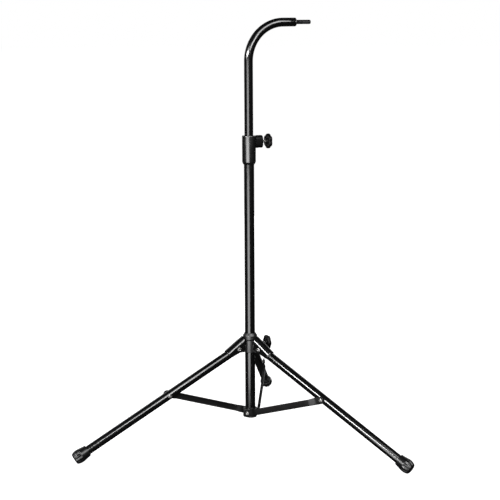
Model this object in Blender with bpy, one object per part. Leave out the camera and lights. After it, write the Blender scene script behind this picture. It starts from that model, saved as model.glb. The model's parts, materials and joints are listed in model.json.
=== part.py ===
"""Swan-neck tripod stand: a folding tripod, a telescoping mast and a bent arm that ends in a threaded stud.

The mast stands upright on X = MAST_X, Y = 0. The arm and both clamp knobs point along +X. Leg 1 points
along -X, and legs 2 and 3 straddle the arm, 120 degrees apart. The floor is Z = 0.
"""

from math import acos, atan2, cos, degrees, hypot, pi, radians, sin, sqrt

import bmesh
import bpy
from mathutils import Matrix, Vector

MM = 0.001
GAP = 0.3 * MM  # clearance between pieces that touch

# Mast
MAST_X = 98.8 * MM
LOWER_TUBE_R = 11.1 * MM
UPPER_TUBE_R = 9.5 * MM
TUBE_WALL = 1.2 * MM
LOWER_TUBE_TOP = 641.5 * MM
ARM_TUBE_BOTTOM = 330.0 * MM

# Swan-neck arm
ARM_TOP = 918.7 * MM
ARM_BEND_R = 81.0 * MM
ARM_TUBE_REACH = 107.5 * MM  # mast axis to the end of the tube
STUD_REACH = 145.0 * MM
STUD_R = 4.7 * MM

# Clutch at the top of the lower tube
CLUTCH_R = 14.85 * MM
CLUTCH_TOP = 671.7 * MM
CLUTCH_BOTTOM = 610.3 * MM
CLUTCH_CHAMFER = 5.4 * MM
CLUTCH_BOSS_REACH = 29.6 * MM
CLUTCH_BOSS_HEIGHT = 27.0 * MM
CLUTCH_BOSS_WIDTH = 20.0 * MM

# Clamp screws and knobs
SCREW_R = 3.0 * MM
SCREW_HOLE_R = SCREW_R + GAP
NUT_FLATS = 10.0 * MM
NUT_THICKNESS = 5.0 * MM
KNOB_R = 16.0 * MM
KNOB_LOBES = 6
KNOB_THICKNESS = 8.5 * MM
UPPER_KNOB_X = 41.0 * MM  # mast axis to the knob's inner face
LOWER_KNOB_X = 37.3 * MM
UPPER_SCREW_Z = CLUTCH_TOP - CLUTCH_BOSS_HEIGHT / 2

# Tripod collar
COLLAR_R = 13.2 * MM
COLLAR_BOTTOM = 197.0 * MM
COLLAR_TOP = 223.2 * MM
COLLAR_RING_R = 15.6 * MM
COLLAR_RING_TOP = 240.0 * MM
COLLAR_BOSS_R = 7.8 * MM
COLLAR_BOSS_REACH = 26.0 * MM
LOWER_SCREW_Z = 213.8 * MM
LUG_WIDTH = 17.0 * MM
LUG_R = 8.0 * MM

# Legs
LEG_AZIMUTHS = (180.0, 300.0, 60.0)
LEG_ANGLE = radians(27.8)  # below the horizontal
LEG_TUBE_R = 9.5 * MM
LEG_LENGTH = 424.0 * MM  # pivot to the foot's end face
PIVOT_REACH = 30.0 * MM  # mast axis to the leg's pivot
PIVOT_Z = 206.9 * MM
BRACKET_LENGTH = 27.0 * MM  # beyond the pivot
BRACKET_WALL = 1.7 * MM
BRACKET_RISE = 6.7 * MM  # of its roof, from the mouth to the mast end
FOOT_LENGTH = 33.0 * MM
FOOT_RIBS = 12

# Struts and the hub at the foot of the mast
STRUT_PIVOT = 183.0 * MM  # along the leg, from its pivot
HUB_PIVOT_REACH = 3.0 * MM  # along the leg's direction, from the mast axis
HUB_PIVOT_Z = 59.4 * MM
HUB_R = 16.0 * MM
HUB_FLAT = 14.3 * MM  # mast axis to a flat that a strut lies on
HUB_BOTTOM = 49.4 * MM
HUB_TOP = 68.6 * MM
STRUT_SHEET = 1.8 * MM
STRUT_HALF_WIDTH = 7.0 * MM
STRUT_FLANGE = 2.7 * MM
TAB_R = 8.0 * MM
HUB_TAB_FACE = 16.6 * MM  # outer faces, measured sideways from the leg's middle plane
STRUT_FACE = 19.1 * MM
LEG_TAB_FACE = 13.6 * MM

# Rivets
RIVET_R = 2.5 * MM
RIVET_HOLE_R = RIVET_R + GAP
RIVET_HEAD_R = 4.8 * MM
RIVET_HEAD = 1.8 * MM

# Strut pivot on the leg, in the leg's plane: distance from the mast axis, and height
STRUT_PIVOT_REACH = PIVOT_REACH + STRUT_PIVOT * cos(LEG_ANGLE)
STRUT_PIVOT_Z = PIVOT_Z - STRUT_PIVOT * sin(LEG_ANGLE)
STRUT_RUN = STRUT_PIVOT_REACH - HUB_PIVOT_REACH
STRUT_RISE = STRUT_PIVOT_Z - HUB_PIVOT_Z
STRUT_LENGTH = hypot(STRUT_RUN, STRUT_RISE)
STRUT_ANGLE = atan2(STRUT_RISE, STRUT_RUN)

TO_X = Matrix.Rotation(pi / 2, 4, "Y")  # turns a piece modelled along Z so that it lies along X
TO_Y = Matrix.Rotation(-pi / 2, 4, "X")

MATERIALS = {
    "black_powder_coat": ((0.012, 0.012, 0.013), 0.32, 0.0),
    "gloss_black_plastic": ((0.014, 0.014, 0.015), 0.25, 0.0),
    "matte_black_plastic": ((0.018, 0.018, 0.019), 0.55, 0.0),
    "black_rubber": ((0.020, 0.020, 0.021), 0.75, 0.0),
    "bright_steel": ((0.62, 0.61, 0.59), 0.28, 1.0),
    "blackened_steel": ((0.030, 0.030, 0.032), 0.38, 1.0),
}


def clear_scene():
    for obj in list(bpy.data.objects):
        bpy.data.objects.remove(obj, do_unlink=True)


def material(name):
    found = bpy.data.materials.get(name)
    if found:
        return found
    colour, roughness, metallic = MATERIALS[name]
    made = bpy.data.materials.new(name)
    made.use_nodes = True
    surface = made.node_tree.nodes["Principled BSDF"]
    surface.inputs["Base Color"].default_value = (*colour, 1.0)
    surface.inputs["Roughness"].default_value = roughness
    surface.inputs["Metallic"].default_value = metallic
    return made


def empty(name, location, rotation=(0.0, 0.0, 0.0), parent=None):
    made = bpy.data.objects.new(name, None)
    made.empty_display_size = 10 * MM
    made.location = location
    made.rotation_euler = rotation
    made.parent = parent
    bpy.context.scene.collection.objects.link(made)
    return made


def finish(bm, name, material_name, origin, turn=None):
    """Makes an object of the mesh, with its origin at `origin`: a point, or the empty that carries it."""
    if turn:
        bmesh.ops.transform(bm, matrix=turn, verts=bm.verts)
    bmesh.ops.recalc_face_normals(bm, faces=bm.faces)
    mesh = bpy.data.meshes.new(name)
    bm.to_mesh(mesh)
    bm.free()
    obj = bpy.data.objects.new(name, mesh)
    bpy.context.scene.collection.objects.link(obj)
    if isinstance(origin, bpy.types.Object):
        obj.parent = origin
    else:
        obj.location = origin
    mesh.materials.append(material(material_name))
    mesh.shade_smooth()
    mesh.set_sharp_from_angle(angle=radians(32))
    return obj


def loft(bm, rings, close=False):
    """Skins a row of rings with equally many points, and caps its two ends unless it closes on itself."""
    rows = [[bm.verts.new(point) for point in ring] for ring in rings]
    count = len(rows[0])
    for here, there in zip(rows, rows[1:] + ([rows[0]] if close else [])):
        for i in range(count):
            j = (i + 1) % count
            bm.faces.new((here[i], here[j], there[j], there[i]))
    if not close:
        bm.faces.new(rows[0])
        bm.faces.new(rows[-1])
    return bm


def lathe(profile, segments=48):
    """Turns a profile of (radius, height) points about Z. A radius is a number, or a function of the angle.

    A profile that starts and ends on the axis, at radius 0, makes a solid with flat ends or pointed ones.
    Any other profile is joined end to start.
    """
    bm = bmesh.new()
    solid = profile[0][0] == 0
    flat_ends = [solid and profile[0][1] == profile[1][1], solid and profile[-1][1] == profile[-2][1]]
    rows = []
    for radius, height in profile[flat_ends[0] : len(profile) - flat_ends[1]]:
        if radius == 0:
            rows.append([bm.verts.new((0, 0, height))])
            continue
        row = []
        for i in range(segments):
            angle = 2 * pi * i / segments
            r = radius(angle) if callable(radius) else radius
            row.append(bm.verts.new((r * cos(angle), r * sin(angle), height)))
        rows.append(row)
    for here, there in zip(rows, rows[1:] if solid else rows[1:] + rows[:1]):
        for i in range(segments):
            j = (i + 1) % segments
            corners = [here[i % len(here)], here[j % len(here)], there[j % len(there)], there[i % len(there)]]
            bm.faces.new(list(dict.fromkeys(corners)))
    for flat, row in zip(flat_ends, (rows[0], rows[-1])):
        if flat:
            bm.faces.new(row)
    return bm


def tube_profile(outer, inner, low, high, edge=0.3 * MM):
    return [
        (inner, low),
        (outer - edge, low),
        (outer, low + edge),
        (outer, high - edge),
        (outer - edge, high),
        (inner, high),
    ]


def rod_profile(r, low, high, edge=0.4 * MM):
    return [(0, low), (r - edge, low), (r, low + edge), (r, high - edge), (r - edge, high), (0, high)]


def boolean(obj, other, operation):
    cut = obj.modifiers.new(f"{operation.lower()} {other.name}", "BOOLEAN")
    cut.operation = operation
    cut.solver = "EXACT"
    cut.object = other
    other.hide_render = True
    other.display_type = "WIRE"


def cut_round(obj, name, r, low, high, origin, turn=None, segments=24):
    """Drills a round hole from `low` to `high` along the cutter's own Z, which `turn` may lay down."""
    cutter = lathe(rod_profile(r, low, high, edge=0.02 * MM), segments)
    boolean(obj, finish(cutter, name, "bright_steel", origin, turn), "DIFFERENCE")


def rounded_block(width, height, corner, low, high, edge, steps=6):
    """A block along Z whose corners are rounded, with a chamfer round its far end."""

    def ring(inset, level):
        points = []
        for quarter in range(4):
            cx = (width / 2 - corner) * (1 if quarter in (0, 3) else -1)
            cy = (height / 2 - corner) * (1 if quarter in (0, 1) else -1)
            for step in range(steps + 1):
                angle = (quarter + step / steps) * pi / 2
                r = corner - inset
                points.append(Vector((cx + r * cos(angle), cy + r * sin(angle), level)))
        return points

    return loft(bmesh.new(), [ring(0, low), ring(0, high - edge), ring(edge, high)])


def hexagon(flats):
    """The radius of a hexagon that measures `flats` across its flats, as a function of the angle."""
    return lambda angle: flats / 2 / cos((angle % (pi / 3)) - pi / 6)


def make_nut(name, reach, z):
    bevel = 0.5 * MM
    full, inset = hexagon(NUT_FLATS), hexagon(NUT_FLATS - 2 * bevel)
    half = NUT_THICKNESS / 2
    profile = [
        (SCREW_HOLE_R, -half),
        (inset, -half),
        (full, bevel - half),
        (full, half - bevel),
        (inset, half),
        (SCREW_HOLE_R, half),
    ]
    finish(lathe(profile, 24), name, "bright_steel", (MAST_X + reach, 0, z), TO_X)


def nut_slot(obj, name, reach, z, drop):
    """Cuts the pocket that holds a nut: its hexagon, open downwards so that the nut slides in."""
    half_flats = NUT_FLATS / 2 + GAP
    tip = half_flats / cos(pi / 6)
    half = NUT_THICKNESS / 2 + GAP
    bottom = [(-half_flats, -drop), (half_flats, -drop)]
    outline = bottom + [(half_flats, tip / 2), (0, tip), (-half_flats, tip / 2)]
    rings = [[Vector((x, y, up)) for y, up in outline] for x in (-half, half)]
    cutter = loft(bmesh.new(), rings)
    boolean(obj, finish(cutter, name, "bright_steel", (MAST_X + reach, 0, z)), "DIFFERENCE")


def make_knob(name, inner_face, z, turned):
    """A lobed hand knob, dished in its outer face, with a blind socket for its screw."""

    def lobed(r, depth):
        return lambda angle: r - depth * (0.5 - 0.5 * cos(KNOB_LOBES * (angle - turned))) ** 1.5

    depth = 1.7 * MM
    neck, neck_r = 2.6 * MM, 6.0 * MM
    socket = 6.0 * MM
    t = KNOB_THICKNESS
    profile = [
        (0, socket),
        (SCREW_HOLE_R, socket),
        (SCREW_HOLE_R, -neck),
        (neck_r - 0.6 * MM, -neck),
        (neck_r, -neck + 0.6 * MM),
        (neck_r + 0.4 * MM, 0.4 * MM),
        (9.6 * MM, 1.3 * MM),
        (lobed(KNOB_R - 2.0 * MM, depth * 0.8), 0.4 * MM),
        (lobed(KNOB_R - 0.6 * MM, depth), 1.2 * MM),
        (lobed(KNOB_R, depth), 2.6 * MM),
        (lobed(KNOB_R, depth), t - 2.4 * MM),
        (lobed(KNOB_R - 0.8 * MM, depth), t - 0.8 * MM),
        (lobed(KNOB_R - 2.6 * MM, depth * 0.8), t),
        (9.8 * MM, t - 0.2 * MM),
        (9.0 * MM, t - 1.3 * MM),
        (0, t - 0.5 * MM),
    ]
    finish(lathe(profile, 8 * KNOB_LOBES), name, "matte_black_plastic", (MAST_X + inner_face, 0, z), TO_X)


def make_screw(name, tip, inner_face, z):
    high = 5.6 * MM
    profile = rod_profile(SCREW_R, tip - inner_face, high, edge=0.7 * MM)
    finish(lathe(profile, 24), name, "bright_steel", (MAST_X + inner_face, 0, z), TO_X)


def make_lower_tube():
    profile = tube_profile(LOWER_TUBE_R, LOWER_TUBE_R - TUBE_WALL, HUB_BOTTOM + 2.6 * MM, LOWER_TUBE_TOP)
    finish(lathe(profile), "lower_tube", "black_powder_coat", (MAST_X, 0, 0))


def make_hub():
    """A cup under the mast, with a flat for each strut at right angles to its leg."""
    faces = [radians(azimuth - 90) for azimuth in LEG_AZIMUTHS]

    def flattened(r, flat):
        def radius(angle):
            return min(r, *(flat / max(cos(angle - face), 0.01) for face in faces))

        return radius

    bevel = 1.0 * MM
    narrow = flattened(HUB_R - bevel, HUB_FLAT - bevel)
    wide = flattened(HUB_R, HUB_FLAT)
    bore = LOWER_TUBE_R + GAP
    profile = [
        (0, HUB_BOTTOM),
        (narrow, HUB_BOTTOM),
        (wide, HUB_BOTTOM + bevel),
        (wide, HUB_TOP - bevel),
        (narrow, HUB_TOP),
        (bore, HUB_TOP),
        (bore, HUB_BOTTOM + 2.3 * MM),
        (0, HUB_BOTTOM + 2.3 * MM),
    ]
    finish(lathe(profile, 72), "bottom_hub", "matte_black_plastic", (MAST_X, 0, 0))


def make_clutch():
    """The sleeve on the lower tube's top end. Its boss holds the nut of the clamp screw."""
    edge = 0.9 * MM
    outside = [
        (0, CLUTCH_BOTTOM),
        (CLUTCH_R - 2.5 * MM, CLUTCH_BOTTOM),
        (CLUTCH_R, CLUTCH_BOTTOM + CLUTCH_CHAMFER),
        (CLUTCH_R, CLUTCH_TOP - edge),
        (CLUTCH_R - edge, CLUTCH_TOP),
        (0, CLUTCH_TOP),
    ]
    axis = (MAST_X, 0, 0)
    body = finish(lathe(outside), "clutch_body", "gloss_black_plastic", axis)
    boss_origin = (MAST_X, 0, UPPER_SCREW_Z)
    corner, inner_end, chamfer = 8 * MM, 4 * MM, 1.2 * MM
    block = rounded_block(
        CLUTCH_BOSS_HEIGHT, CLUTCH_BOSS_WIDTH, corner, inner_end, CLUTCH_BOSS_REACH, chamfer
    )
    boolean(body, finish(block, "clutch_boss", "gloss_black_plastic", boss_origin, TO_X), "UNION")
    seat = LOWER_TUBE_TOP + GAP
    below, above = CLUTCH_BOTTOM - 5 * MM, CLUTCH_TOP + 5 * MM
    cut_round(body, "clutch_mast_bore", UPPER_TUBE_R + GAP, below, above, axis, segments=48)
    cut_round(body, "clutch_tube_seat", LOWER_TUBE_R + GAP, below, seat, axis, segments=48)
    reach = 23.0 * MM
    nut_slot(body, "clutch_nut_slot", reach, UPPER_SCREW_Z, CLUTCH_BOSS_HEIGHT)
    outside = CLUTCH_BOSS_REACH + 5 * MM
    cut_round(body, "clutch_screw_hole", SCREW_HOLE_R, inner_end, outside, boss_origin, TO_X)
    make_nut("clutch_nut", reach, UPPER_SCREW_Z)


def make_arm():
    """The upper tube, bent over at its top, with its end plug and stud, and the bush at its lower end."""
    height = ARM_TOP - UPPER_TUBE_R
    bend_start = height - ARM_BEND_R
    steps, sides = 15, 30
    stations = [(Vector((0, 0, ARM_TUBE_BOTTOM)), 0.0)]
    for step in range(steps + 1):
        turn = step / steps * pi / 2
        centre = Vector((ARM_BEND_R * (1 - cos(turn)), 0, bend_start + ARM_BEND_R * sin(turn)))
        stations.append((centre, turn))
    stations.append((Vector((ARM_TUBE_REACH, 0, height)), pi / 2))

    def ring(centre, turn, r):
        across = Vector((cos(turn), 0, -sin(turn)))
        angles = (2 * pi * i / sides for i in range(sides))
        return [centre + r * (cos(a) * across + sin(a) * Vector((0, 1, 0))) for a in angles]

    outside = [ring(centre, turn, UPPER_TUBE_R) for centre, turn in stations]
    inside = [ring(centre, turn, UPPER_TUBE_R - TUBE_WALL) for centre, turn in reversed(stations)]
    loop = loft(bmesh.new(), outside + inside, close=True)
    finish(loop, "arm_tube", "black_powder_coat", (MAST_X, 0, 0))

    inner = UPPER_TUBE_R - TUBE_WALL - GAP
    bush = [
        (0, -18 * MM),
        (UPPER_TUBE_R - 0.5 * MM, -18 * MM),
        (UPPER_TUBE_R, -17.5 * MM),
        (UPPER_TUBE_R, -GAP),
        (inner, -GAP),
        (inner, 14 * MM),
        (0, 14 * MM),
    ]
    finish(lathe(bush, 40), "guide_bush", "matte_black_plastic", (MAST_X, 0, ARM_TUBE_BOTTOM))

    bore = STUD_R + GAP
    plug = [
        (bore, -12 * MM),
        (inner, -12 * MM),
        (inner, GAP),
        (UPPER_TUBE_R - 0.2 * MM, GAP),
        (UPPER_TUBE_R - 0.5 * MM, 1.1 * MM),
        (UPPER_TUBE_R - 1.6 * MM, 1.9 * MM),
        (bore, 2.1 * MM),
    ]
    end = (MAST_X + ARM_TUBE_REACH, 0, height)
    finish(lathe(plug, 40), "arm_end_plug", "matte_black_plastic", end, TO_X)
    stud = rod_profile(STUD_R, -10 * MM, STUD_REACH - ARM_TUBE_REACH, edge=0.8 * MM)
    finish(lathe(stud, 32), "arm_stud", "blackened_steel", end, TO_X)


def make_collar():
    """The sliding collar that the legs hinge on: a sleeve with three lugs and a boss, with a ring on it."""
    neck_r = 12.4 * MM
    neck_top = 233.0 * MM
    edge = 0.7 * MM
    outside = [
        (0, COLLAR_BOTTOM),
        (COLLAR_R - edge, COLLAR_BOTTOM),
        (COLLAR_R, COLLAR_BOTTOM + edge),
        (COLLAR_R, COLLAR_TOP - edge),
        (COLLAR_R - edge * 0.6, COLLAR_TOP),
        (neck_r, COLLAR_TOP),
        (neck_r, neck_top),
        (0, neck_top),
    ]
    axis = (MAST_X, 0, 0)
    body = finish(lathe(outside), "collar_body", "matte_black_plastic", axis)
    for number, azimuth in enumerate(LEG_AZIMUTHS, 1):
        station = empty(f"lug_{number}_station", (MAST_X, 0, PIVOT_Z), (0, 0, radians(azimuth)))
        arc = [radians(-90 + 15 * step) for step in range(13)]
        outline = [(PIVOT_REACH + LUG_R * cos(a), LUG_R * sin(a)) for a in arc]
        outline += [(5 * MM, LUG_R), (5 * MM, -LUG_R)]
        rings = [[Vector((x, y, z)) for x, z in outline] for y in (-LUG_WIDTH / 2, LUG_WIDTH / 2)]
        lug = loft(bmesh.new(), rings)
        boolean(body, finish(lug, f"collar_lug_{number}", "matte_black_plastic", station), "UNION")
    boss_origin = (MAST_X, 0, LOWER_SCREW_Z)
    boss = lathe(rod_profile(COLLAR_BOSS_R, 4 * MM, COLLAR_BOSS_REACH, edge=0.9 * MM), 40)
    boolean(body, finish(boss, "collar_boss", "matte_black_plastic", boss_origin, TO_X), "UNION")
    cut_round(body, "collar_bore", LOWER_TUBE_R + GAP, 190 * MM, 250 * MM, axis, segments=48)
    reach = 20.5 * MM
    nut_slot(body, "collar_nut_slot", reach, LOWER_SCREW_Z, 14 * MM)
    outside = COLLAR_BOSS_REACH + 5 * MM
    cut_round(body, "collar_screw_hole", SCREW_HOLE_R, 4 * MM, outside, boss_origin, TO_X)
    make_nut("collar_nut", reach, LOWER_SCREW_Z)
    for number in range(1, len(LEG_AZIMUTHS) + 1):
        station = bpy.data.objects[f"lug_{number}_station"]
        turn = Matrix.Translation((PIVOT_REACH, 0, 0)) @ TO_Y
        cut_round(body, f"collar_lug_hole_{number}", RIVET_HOLE_R, -12 * MM, 12 * MM, station, turn)

    bore = LOWER_TUBE_R + GAP
    cone = 5.6 * MM
    ring = [
        (neck_r + GAP, COLLAR_TOP + GAP),
        (COLLAR_R - 0.5 * MM, COLLAR_TOP + GAP),
        (COLLAR_RING_R, COLLAR_TOP + 2.2 * MM),
        (COLLAR_RING_R, COLLAR_RING_TOP - cone),
        (bore + 0.7 * MM, COLLAR_RING_TOP),
        (bore, COLLAR_RING_TOP),
        (bore, neck_top + GAP),
        (neck_r + GAP, neck_top + GAP),
    ]
    finish(lathe(ring), "collar_ring", "gloss_black_plastic", axis)


def make_rivet(name, low, high, origin, head_at_high=True):
    """A rivet along Y. Its heads bear on the faces at `low` and `high`, and have a dimple in the middle."""
    head_r, head = RIVET_HEAD_R, RIVET_HEAD
    dimple_r, dimple = 1.0 * MM, 0.9 * MM

    def end(face, away, headed):
        if not headed:
            return [(0, face), (RIVET_R, face)]
        return [
            (0, face + away * (head - dimple)),
            (dimple_r, face + away * head),
            (head_r * 0.62, face + away * head),
            (head_r * 0.94, face + away * head * 0.65),
            (head_r, face),
            (RIVET_R, face),
        ]

    profile = end(low, -1, True) + end(high, 1, head_at_high)[::-1]
    finish(lathe(profile, 16), name, "bright_steel", origin, TO_Y)


def make_bracket(name, axis):
    """An upturned channel over the leg's top end. Its cheeks straddle a lug, and its roof rises inwards."""
    outer = LEG_TUBE_R + GAP + BRACKET_WALL
    inner = LEG_TUBE_R + GAP
    mouth_drop, mast_drop = 5.0 * MM, 8.0 * MM
    lean = 11.0 * MM  # how much farther the roof reaches towards the mast than the cheeks do
    cheek_end = -12.0 * MM

    def section(along, rise, drop, leaning):
        arc = [pi * step / 14 for step in range(15)]
        points = [(outer * cos(a), rise + outer * sin(a)) for a in arc]
        points += [(-outer, -drop), (-inner, -drop)]
        points += [(inner * cos(a), rise + inner * sin(a)) for a in reversed(arc)]
        points += [(inner, -drop), (outer, -drop)]
        height = rise + outer + drop
        return [Vector((along - leaning * (z + drop) / height, y, z)) for y, z in points]

    rings = [
        section(BRACKET_LENGTH, 0, mouth_drop, 0),
        section(0, BRACKET_RISE * 0.6, 7.0 * MM, 0),
        section(cheek_end, BRACKET_RISE, mast_drop, lean),
    ]
    bracket = finish(loft(bmesh.new(), rings), name, "black_powder_coat", axis)
    cut_round(bracket, f"{name}_pivot_hole", RIVET_HOLE_R, -15 * MM, 15 * MM, axis, TO_Y)


def make_foot(name, axis):
    """A rubber cap over the leg's bottom end, ribbed near its end and flattened where it meets the floor."""
    bore = LEG_TUBE_R + GAP

    def ribbed(r, depth):
        return lambda angle: r - depth * (0.5 - 0.5 * cos(FOOT_RIBS * angle))

    profile = [
        (0, 3.3 * MM),
        (bore, 3.3 * MM),
        (bore, FOOT_LENGTH),
        (11.5 * MM, FOOT_LENGTH),
        (12.2 * MM, FOOT_LENGTH - 0.8 * MM),
        (13.3 * MM, FOOT_LENGTH - 9 * MM),
        (14.5 * MM, FOOT_LENGTH - 16 * MM),
        (ribbed(14.8 * MM, 1.0 * MM), FOOT_LENGTH - 18.5 * MM),
        (ribbed(14.8 * MM, 1.3 * MM), 10.0 * MM),
        (ribbed(13.8 * MM, 1.3 * MM), 5.0 * MM),
        (ribbed(12.0 * MM, 1.0 * MM), 0.8 * MM),
        (10.8 * MM, 0),
        (0, 0),
    ]
    along_leg = Matrix.Translation((LEG_LENGTH, 0, 0)) @ Matrix.Rotation(-pi / 2, 4, "Y")
    foot = finish(lathe(profile, 4 * FOOT_RIBS), name, "black_rubber", axis, along_leg)
    bpy.context.view_layer.update()
    to_world = foot.matrix_world
    for vertex in foot.data.vertices:
        point = to_world @ vertex.co
        if point.z < 0:
            vertex.co = to_world.inverted() @ Vector((point.x, point.y, 0))


def make_strut(name, axis):
    """A pressed channel with flat tabs set in at both ends. Its origin is its pivot on the leg."""

    def section(along, face, half_width, flange):
        web = face - STRUT_SHEET
        lip = min(STRUT_SHEET, half_width * 0.4)
        inside, edge = half_width - lip, web - flange
        points = [
            (face, -half_width),
            (face, half_width),
            (edge, half_width),
            (edge, inside),
            (web, inside),
            (web, -inside),
            (edge, -inside),
            (edge, -half_width),
        ]
        return [Vector((along, -out, up)) for out, up in points]

    def tab_end(pivot, side, face):
        """Half a disc round the pivot, on the side that is -1 or 1 along the strut."""
        turns = [radians(16 * step) for step in range(6)]
        return [section(pivot + side * TAB_R * sin(a), face, TAB_R * cos(a), flat) for a in turns]

    flat = 0.1 * MM
    hub, wide, slope = -STRUT_LENGTH, STRUT_HALF_WIDTH, 0.3 * MM
    rings = [
        *reversed(tab_end(hub, -1, HUB_TAB_FACE)),
        section(hub + 13 * MM, HUB_TAB_FACE, TAB_R, flat),
        section(hub + 16 * MM, HUB_TAB_FACE + slope, TAB_R, slope),
        section(hub + 23 * MM, STRUT_FACE - slope, wide + 0.2 * MM, STRUT_FLANGE - slope),
        section(hub + 26 * MM, STRUT_FACE, wide, STRUT_FLANGE),
        section(-30 * MM, STRUT_FACE, wide, STRUT_FLANGE),
        section(-26 * MM, STRUT_FACE - 2 * slope, wide, STRUT_FLANGE - 0.5 * MM),
        section(-15 * MM, LEG_TAB_FACE + 2 * slope, TAB_R - 0.2 * MM, slope),
        section(-11 * MM, LEG_TAB_FACE, TAB_R, flat),
        *tab_end(0, 1, LEG_TAB_FACE),
    ]
    strut = finish(loft(bmesh.new(), rings), name, "black_powder_coat", axis)
    for end, along in (("hub", -STRUT_LENGTH), ("leg", 0)):
        turn = Matrix.Translation((along, 0, 0)) @ TO_Y
        cut_round(strut, f"{name}_{end}_hole", RIVET_HOLE_R, -22 * MM, -9 * MM, axis, turn)


def make_leg(number, azimuth):
    station = empty(f"leg_{number}_station", (MAST_X, 0, 0), (0, 0, radians(azimuth)))
    leg_axis = empty(f"leg_{number}_axis", (PIVOT_REACH, 0, PIVOT_Z), (0, LEG_ANGLE, 0), station)
    strut_pivot = (STRUT_PIVOT_REACH, 0, STRUT_PIVOT_Z)
    strut_axis = empty(f"strut_{number}_axis", strut_pivot, (0, -STRUT_ANGLE, 0), station)

    tube = tube_profile(LEG_TUBE_R, LEG_TUBE_R - TUBE_WALL, 12 * MM, LEG_LENGTH - 3.8 * MM)
    leg = finish(lathe(tube, 32), f"leg_tube_{number}", "black_powder_coat", leg_axis, TO_X)
    turn = Matrix.Translation((STRUT_PIVOT, 0, 0)) @ TO_Y
    cut_round(leg, f"leg_{number}_strut_hole", RIVET_HOLE_R, -14 * MM, 14 * MM, leg_axis, turn)

    make_bracket(f"leg_bracket_{number}", leg_axis)
    cheek = LEG_TUBE_R + GAP + BRACKET_WALL + GAP
    make_rivet(f"leg_pivot_rivet_{number}", -cheek, cheek, leg_axis)
    make_foot(f"foot_{number}", leg_axis)

    make_strut(f"strut_{number}", strut_axis)
    make_rivet(f"strut_rivet_{number}", -LEG_TAB_FACE - GAP, LEG_TUBE_R + GAP, strut_axis)
    low, high = -LEG_TUBE_R - 1.8 * MM, -LEG_TUBE_R - GAP
    spacer = lathe(tube_profile(5.0 * MM, RIVET_HOLE_R, low, high, edge=0.2 * MM), 24)
    finish(spacer, f"strut_spacer_{number}", "bright_steel", strut_axis, TO_Y)
    hub_axis = empty(f"hub_pivot_{number}_axis", (-STRUT_LENGTH, 0, 0), parent=strut_axis)
    low, high = -HUB_TAB_FACE - GAP, -HUB_FLAT - GAP
    make_rivet(f"hub_rivet_{number}", low, high, hub_axis, head_at_high=False)


def print_motion():
    """Prints how far the collar, legs and struts move as the legs fold down, and where their axes are."""
    offset = PIVOT_REACH - HUB_PIVOT_REACH
    closed_height = HUB_PIVOT_Z + sqrt(STRUT_LENGTH**2 - offset**2) + STRUT_PIVOT
    leg_turn = pi / 2 - LEG_ANGLE
    strut_turn = leg_turn + acos(offset / STRUT_LENGTH) - STRUT_ANGLE
    print("collar travel", round(closed_height - PIVOT_Z, 5))
    print("leg turn", round(degrees(leg_turn), 4))
    print("strut turn on the leg", round(degrees(strut_turn), 4))
    for number in range(1, len(LEG_AZIMUTHS) + 1):
        for kind in ("leg", "strut"):
            pivot = bpy.data.objects[f"{kind}_{number}_axis"].matrix_world
            place = [round(v, 6) for v in pivot.translation]
            print(kind, number, place, [round(v, 6) for v in pivot.col[1][:3]])


def main():
    clear_scene()
    make_lower_tube()
    make_hub()
    make_clutch()
    make_knob("upper_knob", UPPER_KNOB_X, UPPER_SCREW_Z, 0)
    make_screw("upper_knob_screw", UPPER_TUBE_R + GAP, UPPER_KNOB_X, UPPER_SCREW_Z)
    make_arm()
    make_collar()
    make_knob("lower_knob", LOWER_KNOB_X, LOWER_SCREW_Z, pi / KNOB_LOBES)
    make_screw("lower_knob_screw", LOWER_TUBE_R + GAP, LOWER_KNOB_X, LOWER_SCREW_Z)
    for number, azimuth in enumerate(LEG_AZIMUTHS, 1):
        make_leg(number, azimuth)
    bpy.context.view_layer.update()
    print_motion()


main()
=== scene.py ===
"""The looks of a folding tripod saxophone stand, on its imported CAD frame.

Every piece is shaped finely in its CAD node's place, and gets a procedural material.
"""

import json
from math import cos, pi, radians, sin

import bmesh
import bpy
from mathutils import Matrix, Vector


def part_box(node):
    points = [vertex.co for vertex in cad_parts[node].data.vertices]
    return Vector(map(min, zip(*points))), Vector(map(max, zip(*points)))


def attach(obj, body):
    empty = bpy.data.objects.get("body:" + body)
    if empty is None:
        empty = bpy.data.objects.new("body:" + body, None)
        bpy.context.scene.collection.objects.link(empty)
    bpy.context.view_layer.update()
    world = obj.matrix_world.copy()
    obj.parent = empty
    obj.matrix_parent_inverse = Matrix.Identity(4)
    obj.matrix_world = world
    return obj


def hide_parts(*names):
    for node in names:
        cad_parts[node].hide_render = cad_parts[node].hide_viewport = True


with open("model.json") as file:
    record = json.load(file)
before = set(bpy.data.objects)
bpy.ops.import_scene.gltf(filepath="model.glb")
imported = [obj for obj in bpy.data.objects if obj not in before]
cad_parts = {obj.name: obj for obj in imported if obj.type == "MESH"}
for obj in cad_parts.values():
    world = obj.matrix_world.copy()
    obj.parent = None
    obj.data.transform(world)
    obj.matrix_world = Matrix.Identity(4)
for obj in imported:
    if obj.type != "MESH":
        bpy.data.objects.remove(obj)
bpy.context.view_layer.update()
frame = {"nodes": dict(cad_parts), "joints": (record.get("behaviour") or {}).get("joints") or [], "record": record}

MM = 0.001
GAP = 0.3 * MM  # clearance between pieces that touch
TUBE_WALL = 1.2 * MM
RIVET_R = 2.5 * MM
SCREW_R = 3.0 * MM
SCREW_PITCH = 1.0 * MM
NUT_FLATS = 10.0 * MM
NUT_THICKNESS = 5.0 * MM
RIVET_HEAD_R = 4.8 * MM
RIVET_HEAD = 1.8 * MM
STUD_PITCH = 25.4 / 16 * MM
ARM_BEND_R = 81.0 * MM
PLUG_DEPTH = 12.0 * MM
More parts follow.
